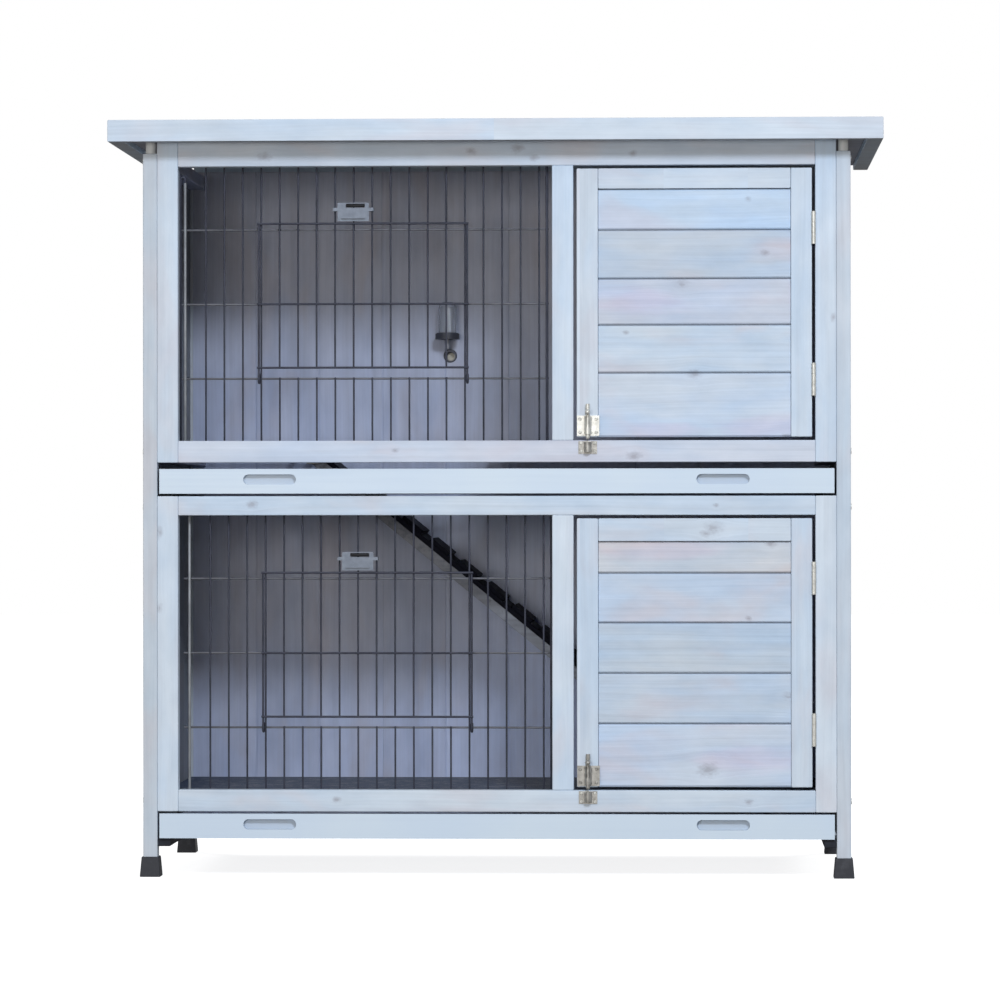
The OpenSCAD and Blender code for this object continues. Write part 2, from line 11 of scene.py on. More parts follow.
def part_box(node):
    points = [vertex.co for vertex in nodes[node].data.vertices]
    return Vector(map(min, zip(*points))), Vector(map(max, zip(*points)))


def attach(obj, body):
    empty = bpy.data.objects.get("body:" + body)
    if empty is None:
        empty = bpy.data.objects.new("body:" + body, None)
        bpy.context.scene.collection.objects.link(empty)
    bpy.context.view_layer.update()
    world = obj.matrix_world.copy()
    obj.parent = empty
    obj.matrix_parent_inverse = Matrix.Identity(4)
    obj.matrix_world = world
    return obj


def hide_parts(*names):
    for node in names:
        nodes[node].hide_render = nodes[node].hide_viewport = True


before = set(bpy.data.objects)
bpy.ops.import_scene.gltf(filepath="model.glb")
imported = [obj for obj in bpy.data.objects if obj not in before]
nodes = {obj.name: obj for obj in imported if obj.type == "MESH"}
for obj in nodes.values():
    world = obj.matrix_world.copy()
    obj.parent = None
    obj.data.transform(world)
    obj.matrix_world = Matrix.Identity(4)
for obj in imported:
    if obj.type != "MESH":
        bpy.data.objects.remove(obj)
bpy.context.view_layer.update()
random.seed(7)


# ---------------------------------------------------------------- shader helpers


def srgb(r, g, b):
    """A colour from 0-255 display values, as the linear values that sockets take."""
    def linear(c):
        c /= 255
        return c / 12.92 if c <= 0.04045 else ((c + 0.055) / 1.055) ** 2.4

    return (linear(r), linear(g), linear(b), 1.0)


class Shade:
    """A material, and short names for the nodes it is made of."""

    def __init__(self, name):
        self.mat = bpy.data.materials.new(name)
        self.mat.use_nodes = True
        self.tree = self.mat.node_tree
        self.tree.nodes.clear()
        out = self.add("ShaderNodeOutputMaterial")
        self.bsdf = self.add("ShaderNodeBsdfPrincipled")
        self.tree.links.new(self.bsdf.outputs[0], out.inputs["Surface"])
        coord = self.add("ShaderNodeTexCoord")
        self.place, self.normal = coord.outputs["Object"], coord.outputs["Normal"]
        self.x, self.y, self.z = self.split(self.place)

    def add(self, kind, **settings):
        node = self.tree.nodes.new(kind)
        for key, value in settings.items():
            setattr(node, key, value)
        return node

    def put(self, socket, value):
        if isinstance(value, bpy.types.NodeSocket):
            self.tree.links.new(value, socket)
        else:
            socket.default_value = value

    def set(self, **values):
        for key, value in values.items():
            self.put(self.bsdf.inputs[key.replace("_", " ")], value)

    def split(self, vector):
        node = self.add("ShaderNodeSeparateXYZ")
        self.put(node.inputs[0], vector)
        return node.outputs[0], node.outputs[1], node.outputs[2]

    def join(self, x, y, z):
        node = self.add("ShaderNodeCombineXYZ")
        for socket, value in zip(node.inputs, (x, y, z)):
            self.put(socket, value)
        return node.outputs[0]

    def math(self, operation, a, b=0.0, c=0.0, clamp=False):
        node = self.add("ShaderNodeMath", operation=operation, use_clamp=clamp)
        for socket, value in zip(node.inputs, (a, b, c)):
            self.put(socket, value)
        return node.outputs[0]

    def step(self, value, low, high, smooth=True):
        """0 below low and 1 above high, or the other way round where low is above high."""
        kind = "SMOOTHSTEP" if smooth else "LINEAR"
        node = self.add("ShaderNodeMapRange", interpolation_type=kind)
        if low <= high:
            limits = (low, high, 0.0, 1.0)
        else:
            limits = (high, low, 1.0, 0.0)
        for socket, v in zip(node.inputs, (value, *limits)):
            self.put(socket, v)
        return node.outputs[0]

    def noise(self, vector, scale=1.0, detail=3.0, rough=0.55, distort=0.0):
        node = self.add("ShaderNodeTexNoise")
        self.put(node.inputs["Vector"], vector)
        for key, value in (("Scale", scale), ("Detail", detail), ("Roughness", rough),
                           ("Distortion", distort)):
            node.inputs[key].default_value = value
        return node.outputs["Fac"]

    def cells(self, vector, scale=1.0, randomness=1.0):
        """Distance to the nearest cell's point, and the cell's random colour."""
        node = self.add("ShaderNodeTexVoronoi")
        self.put(node.inputs["Vector"], vector)
        node.inputs["Scale"].default_value = scale
        node.inputs["Randomness"].default_value = randomness
        return node.outputs["Distance"], node.outputs["Color"]

    def random(self, value):
        node = self.add("ShaderNodeTexWhiteNoise", noise_dimensions="1D")
        self.put(node.inputs["W"], value)
        return node.outputs["Value"]

    def mix(self, factor, a, b, blend="MIX"):
        node = self.add("ShaderNodeMix", data_type="RGBA", blend_type=blend)
        for socket, value in ((node.inputs[0], factor), (node.inputs[6], a), (node.inputs[7], b)):
            self.put(socket, value)
        return node.outputs[2]

    def bump(self, height, distance, strength=1.0, under=None):
        node = self.add("ShaderNodeBump")
        node.inputs["Strength"].default_value = strength
        node.inputs["Distance"].default_value = distance
        self.put(node.inputs["Height"], height)
        if under is not None:
            self.put(node.inputs["Normal"], under)
        return node.outputs[0]


# ---------------------------------------------------------------- materials

WASH = dict(
    light=srgb(205, 216, 226),
    blue=srgb(192, 209, 226),
    pink=srgb(203, 205, 213),
    bare_wood_and_shade=srgb(178, 182, 189),
    knot=srgb(132, 126, 133),
)
POSTS = dict(
    light=srgb(199, 208, 217),
    blue=srgb(189, 203, 216),
    pink=srgb(197, 199, 206),
    bare_wood_and_shade=srgb(172, 175, 182),
    knot=srgb(130, 125, 130),
)
PLANKS = dict(
    light=srgb(199, 211, 221),
    blue=srgb(185, 206, 227),
    pink=srgb(199, 199, 207),
    bare_wood_and_shade=srgb(176, 180, 186),
    knot=srgb(130, 125, 132),
)
# A darker, bluer copy of the wash for the boards inside the hutch: a painted shade for the light that falls
# off inside
INSIDE = dict(
    light=srgb(187, 191, 206),
    blue=srgb(174, 181, 200),
    pink=srgb(181, 179, 188),
    bare_wood_and_shade=srgb(154, 153, 160),
    knot=srgb(120, 114, 120),
)
SHADED = srgb(150, 143, 140)


def wood(name, grain, tones=WASH, boards=(), joints=None, cross=None, knots=(), seed=0.0, stray=0.0,
         bare_wood_and_shade=None, seams=0.0, tints=()):
    """Whitewashed fir. A mask function takes the Shade and gives 0 to 1.

    grain   the axis that the fibres run along
    boards  (axis, start, pitch) for each way in which one node holds several boards
    joints  (axis, edges) where the boards differ in width
    cross   (mask function, other grain axis) for a node with boards both ways
    knots   (along, across, radius) of each knot, in metres
    stray   how many knots show that the list doesn't give, 0 to 1
    bare    a mask function for the faces that get a painted shade, multiplied towards SHADED
    seams   how dark the joints are
    tints   (mask function, colour) for each patch that took the wash otherwise
    """
    s = Shade(name)
    axes = {"x": s.x, "y": s.y, "z": s.z}

    def board_space(g):
        u, v, w = {"x": ("x", "z", "y"), "z": ("z", "x", "y"), "y": ("y", "z", "x")}[g]
        return axes[u], axes[v], axes[w]

    u, v, w = board_space(grain)
    number = s.math("ADD", seed, 0.0)
    for i, (axis, start, pitch) in enumerate(boards):
        cell = s.math("FLOOR", s.math("DIVIDE", s.math("SUBTRACT", axes[axis], start), pitch))
        number = s.math("MULTIPLY_ADD", cell, 3.7 + 5.3 * i, number)
    for edge in joints[1] if joints else ():
        number = s.math("MULTIPLY_ADD", s.math("GREATER_THAN", axes[joints[0]], edge), 3.7, number)
    if cross:
        mask = cross[0](s)
        u2, v2, _ = board_space(cross[1])
        u = s.math("ADD", s.math("MULTIPLY", u, s.math("SUBTRACT", 1.0, mask)), s.math("MULTIPLY", u2, mask))
        v = s.math("ADD", s.math("MULTIPLY", v, s.math("SUBTRACT", 1.0, mask)), s.math("MULTIPLY", v2, mask))
        number = s.math("MULTIPLY_ADD", mask, 11.3, number)
    chance = s.random(number)

    # Knots bend the fibres round them
    knot, eye, push = None, None, None
    for along, across, radius in knots:
        du = s.math("DIVIDE", s.math("SUBTRACT", u, along), radius * 1.5)
        dv = s.math("DIVIDE", s.math("SUBTRACT", v, across), radius)
        d = s.math("SQRT", s.math("ADD", s.math("MULTIPLY", du, du), s.math("MULTIPLY", dv, dv)))
        grit = s.join(s.math("MULTIPLY", u, 150.0), s.math("MULTIPLY", v, 260.0), seed)
        ragged = s.math("MULTIPLY_ADD", s.noise(grit, 1.0, 3.0, 0.6), 1.5, -0.75)
        d = s.math("ADD", d, ragged)
        ring = s.step(d, 1.3, 0.4)
        core = s.step(d, 0.55, 0.1)
        spread = s.math("MULTIPLY", dv,
                        s.math("EXPONENT", s.math("MULTIPLY", s.math("MULTIPLY", d, d), -0.22)))
        spread = s.math("MULTIPLY", spread, radius * -0.55)
        knot = ring if knot is None else s.math("MAXIMUM", knot, ring)
        eye = core if eye is None else s.math("MAXIMUM", eye, core)
        push = spread if push is None else s.math("ADD", push, spread)

    shift = s.math("MULTIPLY", chance, 9.0)
    us, vs, ws = s.math("ADD", u, shift), s.math("ADD", v, s.math("MULTIPLY", shift, 0.37)), w
    if push is not None:
        vs = s.math("ADD", vs, push)
    sway = s.noise(s.join(s.math("MULTIPLY", us, 2.2), s.math("MULTIPLY", vs, 9.0), ws), 1.0, 2.0)
    wander = s.math("MULTIPLY", s.math("SUBTRACT", sway, 0.5), 0.022)
    vw = s.math("ADD", vs, wander)
    along = s.math("MULTIPLY", us, 1.6)
    # Growth rings, then fine fibres
    rings = s.math("SINE", s.math("MULTIPLY", s.math("ADD", vw, s.math("MULTIPLY", ws, 0.4)), 720.0))
    rings = s.step(rings, -0.2, 1.0)
    fibre = s.noise(s.join(s.math("MULTIPLY", us, 7.0), s.math("MULTIPLY", vw, 420.0),
                           s.math("MULTIPLY", ws, 420.0)), 1.0, 4.0, 0.6)
    streak = s.noise(s.join(along, s.math("MULTIPLY", vw, 70.0), s.math("MULTIPLY", ws, 70.0)), 1.0, 3.0, 0.6)
    patch = s.noise(s.join(s.math("MULTIPLY", us, 5.5), s.math("MULTIPLY", vs, 17.0),
                           s.math("MULTIPLY", ws, 11.0)), 1.0, 3.0, 0.55)
    cloud = s.noise(s.join(s.math("MULTIPLY", us, 7.0), s.math("MULTIPLY", vs, 19.0), ws), 1.0, 3.0, 0.5, 0.4)
    blotch = s.noise(s.join(s.math("MULTIPLY", us, 22.0), s.math("MULTIPLY", vs, 48.0), ws), 1.0, 3.0, 0.55)

    lean = s.math("MULTIPLY_ADD", chance, 0.24, -0.12)
    colour = s.mix(s.step(s.math("ADD", patch, lean), 0.32, 0.68), tones["blue"], tones["light"])
    colour = s.mix(s.math("MULTIPLY", s.step(cloud, 0.48, 0.74), 0.8), colour, tones["pink"])
    tone = s.math("MULTIPLY_ADD", s.random(s.math("ADD", number, 0.5)), 0.12, -0.06)
    fine = s.math("MULTIPLY_ADD", s.math("SUBTRACT", fibre, 0.5), 0.24, tone)
    fine = s.math("MULTIPLY_ADD", s.math("SUBTRACT", streak, 0.5), 0.14, fine)
    fine = s.math("MULTIPLY_ADD", s.math("SUBTRACT", blotch, 0.5), 0.42, fine)
    thin = s.math("MULTIPLY", s.step(streak, 0.62, 0.36), 0.15)
    colour = s.mix(thin, colour, tones["bare_wood_and_shade"])
    colour = s.mix(s.math("MULTIPLY", s.math("MULTIPLY", rings, s.step(patch, 0.35, 0.75)), 0.07), colour,
                   tones["bare_wood_and_shade"])
    bright = s.add("ShaderNodeBrightContrast")
    s.put(bright.inputs["Color"], colour)
    s.put(bright.inputs["Bright"], s.math("MULTIPLY", fine, 0.36))
    colour = bright.outputs[0]
    for patch_mask, tint in tints:
        colour = s.mix(patch_mask(s), colour, tint + (1.0,), "MULTIPLY")
    if stray > 0:
        far, tint = s.cells(s.join(s.math("MULTIPLY", us, 4.2), s.math("MULTIPLY", vs, 9.5), 0.0))
        lucky = s.step(s.split(tint)[0], 1.0 - stray, 1.0 - stray + 0.02)
        wide = s.math("MULTIPLY_ADD", s.split(tint)[1], 0.035, 0.035)
        near = s.math("MULTIPLY", s.step(s.math("SUBTRACT", far, wide), 0.02, -0.02), lucky)
        colour = s.mix(s.math("MULTIPLY", near, 0.4), colour, tones["knot"])
    height = s.math("ADD", s.math("MULTIPLY", fibre, 0.55), s.math("MULTIPLY", rings, 0.25))
    if knot is not None:
        rough_edge = s.math("MULTIPLY", knot, s.step(streak, 0.2, 0.6))
        colour = s.mix(s.math("MULTIPLY", rough_edge, 0.32), colour, tones["knot"])
        colour = s.mix(s.math("MULTIPLY", eye, 0.3), colour, tones["knot"])
        height = s.math("MULTIPLY_ADD", knot, -0.6, height)
    if seams:
        # Painted shade: darker lines where two boards meet, for the shade in the joint
        for edge in joints[1]:
            gap = s.step(s.math("ABSOLUTE", s.math("SUBTRACT", axes[joints[0]], edge)), 0.0014, 0.0007)
            colour = s.mix(s.math("MULTIPLY", gap, seams), colour, srgb(92, 98, 112))
    # Painted shade: the masked faces, the undersides and the side walls' inner faces, are multiplied towards
    # SHADED
    if bare_wood_and_shade:
        colour = s.mix(bare_wood_and_shade(s), colour,
                       s.mix(s.math("MULTIPLY_ADD", streak, 0.5, 0.6, True), colour, SHADED, "MULTIPLY"))
    s.set(Base_Color=colour, Roughness=s.math("MULTIPLY_ADD", patch, 0.22, 0.5),
          Normal=s.bump(height, 0.0006, 0.55))
    s.bsdf.inputs["Specular IOR Level"].default_value = 0.32
    return s.mat


def band(axis, low, high, soft=0.0006):
    """A mask function: 1 between low and high along one axis."""
    def mask(s):
        place = {"x": s.x, "y": s.y, "z": s.z}[axis]
        return s.math("MULTIPLY", s.step(place, low - soft, low + soft),
                      s.step(place, high + soft, high - soft))

    return mask


def underside(s):
    return s.step(s.split(s.normal)[2], -0.6, -0.9)


def inner_side(s):
    """The faces of a pair of side walls that look at each other."""
    towards = s.math("MULTIPLY", s.split(s.normal)[0], s.math("SIGN", s.x))
    return s.step(towards, -0.5, -0.9)


def paint(name):
    """Smooth pale paint on a tray's front board, with faint brush lines and scuffs."""
    s = Shade(name)
    lines = s.noise(s.join(s.math("MULTIPLY", s.x, 6.0), s.math("MULTIPLY", s.y, 300.0),
                           s.math("MULTIPLY", s.z, 380.0)), 1.0, 3.0, 0.6)
    cloud = s.noise(s.place, 9.0, 3.0, 0.5)
    scuff = s.noise(s.join(s.math("MULTIPLY", s.x, 14.0), s.math("MULTIPLY", s.y, 60.0),
                           s.math("MULTIPLY", s.z, 60.0)), 1.0, 5.0, 0.65)
    colour = s.mix(s.step(cloud, 0.3, 0.7), srgb(222, 240, 255), srgb(229, 245, 255))
    colour = s.mix(s.math("MULTIPLY", s.step(scuff, 0.68, 0.8), 0.3), colour, srgb(196, 211, 228))
    colour = s.mix(s.math("MULTIPLY", s.step(lines, 0.4, 0.75), 0.07), colour, srgb(198, 214, 236))
    # Painted shade: the faces set back from the board's front, in the finger recess, are painted darker
    recess_shade = s.math("MULTIPLY", s.step(s.y, -0.2062, -0.2042), 0.6)
    colour = s.mix(recess_shade, colour, srgb(142, 153, 170))
    s.set(Base_Color=colour, Roughness=s.math("MULTIPLY_ADD", lines, 0.2, 0.32),
          Normal=s.bump(lines, 0.0001, 0.3))
    return s.mat


def metal(name, colour, dull, roughness, aged=0.3, scale=1.0, shine=0.75):
    """Zinc-plated steel: a fine grain, cloudy dulling and a few brown specks."""
    s = Shade(name)
    cloud = s.noise(s.place, 160.0 * scale, 4.0, 0.6)
    fine = s.noise(s.place, 1900.0 * scale, 2.0, 0.5)
    specks = s.noise(s.place, 700.0 * scale, 3.0, 0.7)
    tone = s.mix(s.math("MULTIPLY", s.step(cloud, 0.35, 0.7), aged * 1.6, 0.0, True), colour, dull)
    tone = s.mix(s.math("MULTIPLY", s.step(specks, 0.68, 0.76), aged), tone, srgb(112, 92, 74))
    s.set(Base_Color=tone, Roughness=s.math("MULTIPLY_ADD", cloud, 0.24, roughness),
          Normal=s.bump(fine, 0.00008, 0.5))
    s.bsdf.inputs["Metallic"].default_value = shine
    return s.mat


def wire(name, colour, shine=0.3):
    """Thin plated wire, dark against the light, with drawn lines and dull patches."""
    s = Shade(name)
    cloud = s.noise(s.place, 45.0, 3.0, 0.6)
    fine = s.noise(s.place, 1200.0, 2.0, 0.5)
    tone = s.mix(s.step(cloud, 0.35, 0.7), colour, tuple(c * 0.72 for c in colour[:3]) + (1.0,))
    s.set(Base_Color=tone, Roughness=s.math("MULTIPLY_ADD", cloud, 0.25, 0.45),
          Normal=s.bump(fine, 0.00006, 0.4))
    s.bsdf.inputs["Specular IOR Level"].default_value = 0.3
    s.bsdf.inputs["Metallic"].default_value = shine
    return s.mat


def plastic(name, colour, roughness, grain=900.0, depth=0.00012, dust=0.25):
    """Moulded plastic with a fine grain and some dust."""
    s = Shade(name)
    fine = s.noise(s.place, grain, 2.0, 0.5)
    dirt = s.noise(s.place, 60.0, 5.0, 0.6)
    tone = s.mix(s.math("MULTIPLY", s.step(dirt, 0.45, 0.75), dust), colour, srgb(150, 152, 158))
    s.set(Base_Color=tone, Roughness=s.math("MULTIPLY_ADD", dirt, 0.2, roughness),
          Normal=s.bump(fine, depth, 0.6))
    return s.mat


def bottle_cap_plastic(name):
    """A smoky cap, and below it the steel spout."""
    s = Shade(name)
    low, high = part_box("bottle_cap")
    fine = s.noise(s.place, 900.0, 2.0, 0.5)
    dirt = s.noise(s.place, 90.0, 4.0, 0.6)
    cap = s.mix(s.step(dirt, 0.35, 0.7), srgb(56, 60, 70), srgb(76, 80, 90))
    steel = s.mix(s.step(dirt, 0.35, 0.7), srgb(150, 152, 158), srgb(120, 122, 130))
    spout = s.step(s.z, low.z + 0.0142, low.z + 0.0136)
    s.set(Base_Color=s.mix(spout, cap, steel), Roughness=s.math("MULTIPLY_ADD", dirt, 0.2, 0.32),
          Normal=s.bump(fine, 0.0001, 0.5))
    return s.mat


def plug_rubber(name):
    """A cup of dull rubber: dark round the rim, pale inside."""
    s = Shade(name)
    low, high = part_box("spout_hole_plug")
    centre, radius = (low + high) / 2, (high.x - low.x) / 2
    # The pale centre is set off towards the bottom right, so the dark is widest at the top left: a painted
    # shade in the cup
    dx = s.math("DIVIDE", s.math("SUBTRACT", s.x, centre.x + radius * 0.12), radius)
    dz = s.math("DIVIDE", s.math("SUBTRACT", s.z, centre.z - radius * 0.16), radius)
    far = s.math("SQRT", s.math("ADD", s.math("MULTIPLY", dx, dx), s.math("MULTIPLY", dz, dz)))
    grain = s.noise(s.place, 500.0, 4.0, 0.6)
    pale = s.mix(s.step(grain, 0.3, 0.7), srgb(188, 184, 170), srgb(160, 158, 150))
    rim = s.mix(s.step(grain, 0.3, 0.7), srgb(66, 70, 80), srgb(88, 91, 100))
    s.set(Base_Color=s.mix(s.step(far, 0.42, 0.72), pale, rim),
          Roughness=s.math("MULTIPLY_ADD", grain, 0.2, 0.5), Normal=s.bump(grain, 0.0001, 0.5))
    return s.mat


def felt(name):
    """Bitumen felt: mineral granules in dark tar."""
    s = Shade(name)
    grain, tint = s.cells(s.place, 900.0)
    cloud = s.noise(s.place, 7.0, 4.0, 0.55)
    colour = s.mix(s.split(tint)[0], srgb(48, 50, 54), srgb(92, 94, 100))
    colour = s.mix(s.math("MULTIPLY", s.step(cloud, 0.4, 0.75), 0.4), colour, srgb(112, 112, 114))
    s.set(Base_Color=colour, Roughness=s.math("MULTIPLY_ADD", cloud, 0.1, 0.82),
          Normal=s.bump(grain, 0.0006, 0.8))
    return s.mat


def dark_strip(name, base, fleck, spread=0.62):
    """Dark wood with pale wear flecks: dark stain on the ramp's cleats, and on the tray runners a painted
    shade for the shade under the trays.
    """
    s = Shade(name)
    fleck_noise = s.noise(s.place, 130.0, 5.0, 0.7)
    grain = s.noise(s.join(s.math("MULTIPLY", s.x, 50.0), s.math("MULTIPLY", s.y, 50.0),
                           s.math("MULTIPLY", s.z, 50.0)), 1.0, 4.0, 0.6)
    colour = s.mix(s.step(grain, 0.3, 0.7), base, tuple(c * 1.6 for c in base[:3]) + (1.0,))
    colour = s.mix(s.math("MULTIPLY", s.step(fleck_noise, spread, spread + 0.07), 0.7), colour, fleck)
    s.set(Base_Color=colour, Roughness=s.math("MULTIPLY_ADD", grain, 0.2, 0.62),
          Normal=s.bump(fleck_noise, 0.0007, 0.6))
    s.bsdf.inputs["Specular IOR Level"].default_value = 0.12
    return s.mat


def clear(name, tint, roughness=0.04):
    """Clear bottle plastic with faint wear."""
    s = Shade(name)
    haze = s.noise(s.place, 260.0, 4.0, 0.6)
    s.set(Base_Color=tint, Roughness=s.math("MULTIPLY_ADD", haze, 0.12, roughness),
          Normal=s.bump(haze, 0.00008, 0.3))
    s.bsdf.inputs["Transmission Weight"].default_value = 0.7
    s.bsdf.inputs["IOR"].default_value = 1.4
    return s.mat


def ramp_wood(name, slope):
    """The ramp's board: whitewashed edges, and a dark, worn, rough top."""
    s = Shade(name)
    nx, _, nz = s.split(s.normal)
    up = s.math("ADD", s.math("MULTIPLY", nx, math.sin(slope)), s.math("MULTIPLY", nz, math.cos(slope)))
    top = s.step(up, 0.6, 0.9)
    along = s.math("SUBTRACT", s.math("MULTIPLY", s.x, math.cos(slope)),
                   s.math("MULTIPLY", s.z, math.sin(slope)))
    fibre = s.noise(s.join(s.math("MULTIPLY", along, 8.0), s.math("MULTIPLY", s.y, 320.0),
                           s.math("MULTIPLY", s.z, 120.0)), 1.0, 4.0, 0.6)
    flecks = s.noise(s.place, 110.0, 5.0, 0.7)
    pale = s.mix(s.step(fibre, 0.3, 0.7), srgb(136, 142, 154), srgb(176, 184, 198))
    pale = s.mix(s.math("MULTIPLY", s.step(flecks, 0.55, 0.68), 0.6), pale, srgb(98, 100, 108))
    # Painted shade: the upper end, high in the lower storey's shade, is darker and greyer; the lower end
    # stays light
    pale = s.mix(s.step(s.x, 0.12, -0.22), pale,
                 s.mix(s.step(flecks, 0.35, 0.6), srgb(96, 96, 100), srgb(128, 128, 132)))
    dark = s.mix(s.step(fibre, 0.3, 0.7), srgb(30, 33, 42), srgb(56, 60, 72))
    dark = s.mix(s.math("MULTIPLY", s.step(flecks, 0.63, 0.7), 0.6), dark, srgb(140, 146, 156))
    s.set(Base_Color=s.mix(top, pale, dark), Roughness=s.math("MULTIPLY_ADD", flecks, 0.2, 0.6),
          Normal=s.bump(fibre, 0.0006, 0.6))
    return s.mat


# ---------------------------------------------------------------- mesh helpers


def finish_edges(obj, width, segments=2, angle=40):
    """Soft arrises on a CAD node, by modifiers only."""
    weld = obj.modifiers.new("weld", "WELD")
    weld.merge_threshold = 0.00001
    bevel = obj.modifiers.new("soft edges", "BEVEL")
    bevel.width = width
    bevel.segments = segments
    bevel.limit_method = "ANGLE"
    bevel.angle_limit = math.radians(angle)
    bevel.use_clamp_overlap = True
    bevel.miter_outer = "MITER_ARC"
    obj.data.polygons.foreach_set("use_smooth", [True] * len(obj.data.polygons))
    normals = obj.modifiers.new("even normals", "WEIGHTED_NORMAL")
    normals.weight = 60


def dress(material, *names, edge=0.0, segments=2):
    for name in names:
        obj = nodes[name]
        obj.data.materials.clear()
        obj.data.materials.append(material)
        if edge:
            finish_edges(obj, edge, segments)


def mesh_object(name, bm, material, body):
    mesh = bpy.data.meshes.new(name)
    bm.to_mesh(mesh)
    bm.free()
    obj = bpy.data.objects.new(name, mesh)
    bpy.context.scene.collection.objects.link(obj)
    mesh.materials.append(material)
    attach(obj, body)
    return obj


def rod(bm, a, b, radius, sides=12):
    """A capped round rod from a to b, smooth on its side."""
    a, b = Vector(a), Vector(b)
    axis = (b - a).normalized()
    turn = axis.to_track_quat("Z", "Y").to_matrix()
    rings = []
    for end, r in ((a, radius * 0.8), (a + axis * radius * 0.25, radius), (b - axis * radius * 0.25, radius),
                   (b, radius * 0.8)):
        ring = []
        for i in range(sides):
            t = 2 * math.pi * i / sides
            ring.append(bm.verts.new(end + turn @ Vector((math.cos(t) * r, math.sin(t) * r, 0))))
        rings.append(ring)
    for low, high in zip(rings, rings[1:]):
        for i in range(sides):
            j = (i + 1) % sides
            bm.faces.new((low[i], low[j], high[j], high[i])).smooth = True
    bm.faces.new(list(reversed(rings[0])))
    bm.faces.new(rings[-1])


def tube(bm, points, radius, sides=12):
    """A capped round wire bent along points that lie in a plane of constant Y."""
    points = [Vector(p) for p in points]
    across = Vector((0, 1, 0))
    rings = []
    for i, p in enumerate(points):
        ahead = (points[min(i + 1, len(points) - 1)] - points[max(i - 1, 0)]).normalized()
        side = ahead.cross(across).normalized()
        ring = []
        for k in range(sides):
            t = 2 * math.pi * k / sides
            ring.append(bm.verts.new(p + side * math.cos(t) * radius + across * math.sin(t) * radius))
        rings.append(ring)
    for low, high in zip(rings, rings[1:]):
        for k in range(sides):
            j = (k + 1) % sides
            bm.faces.new((low[k], low[j], high[j], high[k])).smooth = True
    bm.faces.new(list(reversed(rings[0])))
    bm.faces.new(rings[-1])
    bmesh.ops.recalc_face_normals(bm, faces=bm.faces)


def screw(bm, centre, normal, radius, height, cross=True, sides=20):
    """A domed screw head with a cross recess, lying on a surface."""
    centre, normal = Vector(centre), Vector(normal).normalized()
    turn = normal.to_track_quat("Z", "Y").to_matrix()
    profile = [(1.0, 0.0), (1.0, 0.3), (0.93, 0.62), (0.78, 0.86), (0.55, 0.98)]
    rings = []
    for r, h in profile:
        ring = []
        for i in range(sides):
            t = 2 * math.pi * i / sides
            place = Vector((math.cos(t) * r * radius, math.sin(t) * r * radius, h * height))
            ring.append(bm.verts.new(centre + turn @ place))
        rings.append(ring)
    for low, high in zip(rings, rings[1:]):
        for i in range(sides):
            j = (i + 1) % sides
            bm.faces.new((low[i], low[j], high[j], high[i])).smooth = True
    # The recess: a ring of points that lies deeper along the arms of a cross
    inner = []
    for i in range(sides):
        t = 2 * math.pi * i / sides
        arm = cross and (i % (sides // 4) == 0)
        r = 0.5 if arm else 0.2
        h = 0.55 if cross else 1.0
        place = Vector((math.cos(t) * r * radius, math.sin(t) * r * radius, h * height))
        inner.append(bm.verts.new(centre + turn @ place))
    for i in range(sides):
        j = (i + 1) % sides
        bm.faces.new((rings[-1][i], rings[-1][j], inner[j], inner[i]))
    bm.faces.new(inner)


# ---------------------------------------------------------------- the frame's own dimensions

STOREYS = ("lower", "upper")
OPENING = {"lower": 0.104, "upper": 0.520}
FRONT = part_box("upper_top_rail")[0].y
DOOR = {s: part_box(f"{s}_door_frame") for s in STOREYS}
PLANK_JOINTS = {"lower": (0.079, 0.139, 0.199, 0.258, 0.296), "upper": (0.080, 0.137, 0.192, 0.250, 0.299)}

# How each door plank took the wash, from the lowest up, and the rosy patches on them
PLANK_TINTS = {
    "lower": ((1.0, 0.99, 1.02), (0.98, 0.97, 0.98), (0.97, 0.95, 0.94), (1.0, 0.97, 0.97),
              (1.1, 0.97, 0.88)),
    "upper": ((1.03, 1.01, 1.02), (1.03, 1.0, 0.98), (0.99, 0.94, 0.96), (0.91, 0.89, 0.89),
              (0.95, 1.01, 1.08)),
}


def rosy(x, z, wide, tall):
    def mask(s):
        dx = s.math("DIVIDE", s.math("SUBTRACT", s.x, x), wide)
        dz = s.math("DIVIDE", s.math("SUBTRACT", s.z, z), tall)
        ragged = s.noise(s.join(s.math("MULTIPLY", s.x, 16.0), s.math("MULTIPLY", s.z, 60.0), 0.0), 1.0, 3.0,
                         0.55)
        far = s.math("SQRT", s.math("ADD", s.math("MULTIPLY", dx, dx), s.math("MULTIPLY", dz, dz)))
        return s.step(s.math("MULTIPLY_ADD", ragged, 1.2, far), 1.7, 0.9)

    return mask


ROSE = (1.05, 0.94, 0.96)
PLANK_PATCHES = {
    "lower": [(rosy(0.20, 0.39, 0.10, 0.016), ROSE), (rosy(0.30, 0.14, 0.08, 0.02), ROSE)],
    "upper": [(rosy(0.19, 0.53, 0.07, 0.014), ROSE), (rosy(0.32, 0.535, 0.07, 0.018), ROSE),
              (rosy(0.17, 0.685, 0.07, 0.02), ROSE),
              (rosy(0.34, 0.745, 0.05, 0.02), (1.09, 0.97, 0.94))],
}

# Wood, one material for each way the fibres run and each set of boards
post_wood = wood("post_wood", "z", tones=POSTS, boards=(("x", -10.0, 10.0), ("y", -10.0, 10.0)), seed=1.0,
                 stray=0.25,
                 tints=((band("x", -1.0, -0.3), (0.96, 0.94, 0.92)),))
dress(post_wood, "front_posts", "rear_posts", edge=0.0012)


def frame_member(name, grain, seed, knots=(), tint=(1.0, 1.0, 1.0)):
    dress(wood(name + "_wood", grain, seed=seed, knots=knots, tints=((band("z", 0.0, 1.0), tint),)), name,
          edge=0.0012)


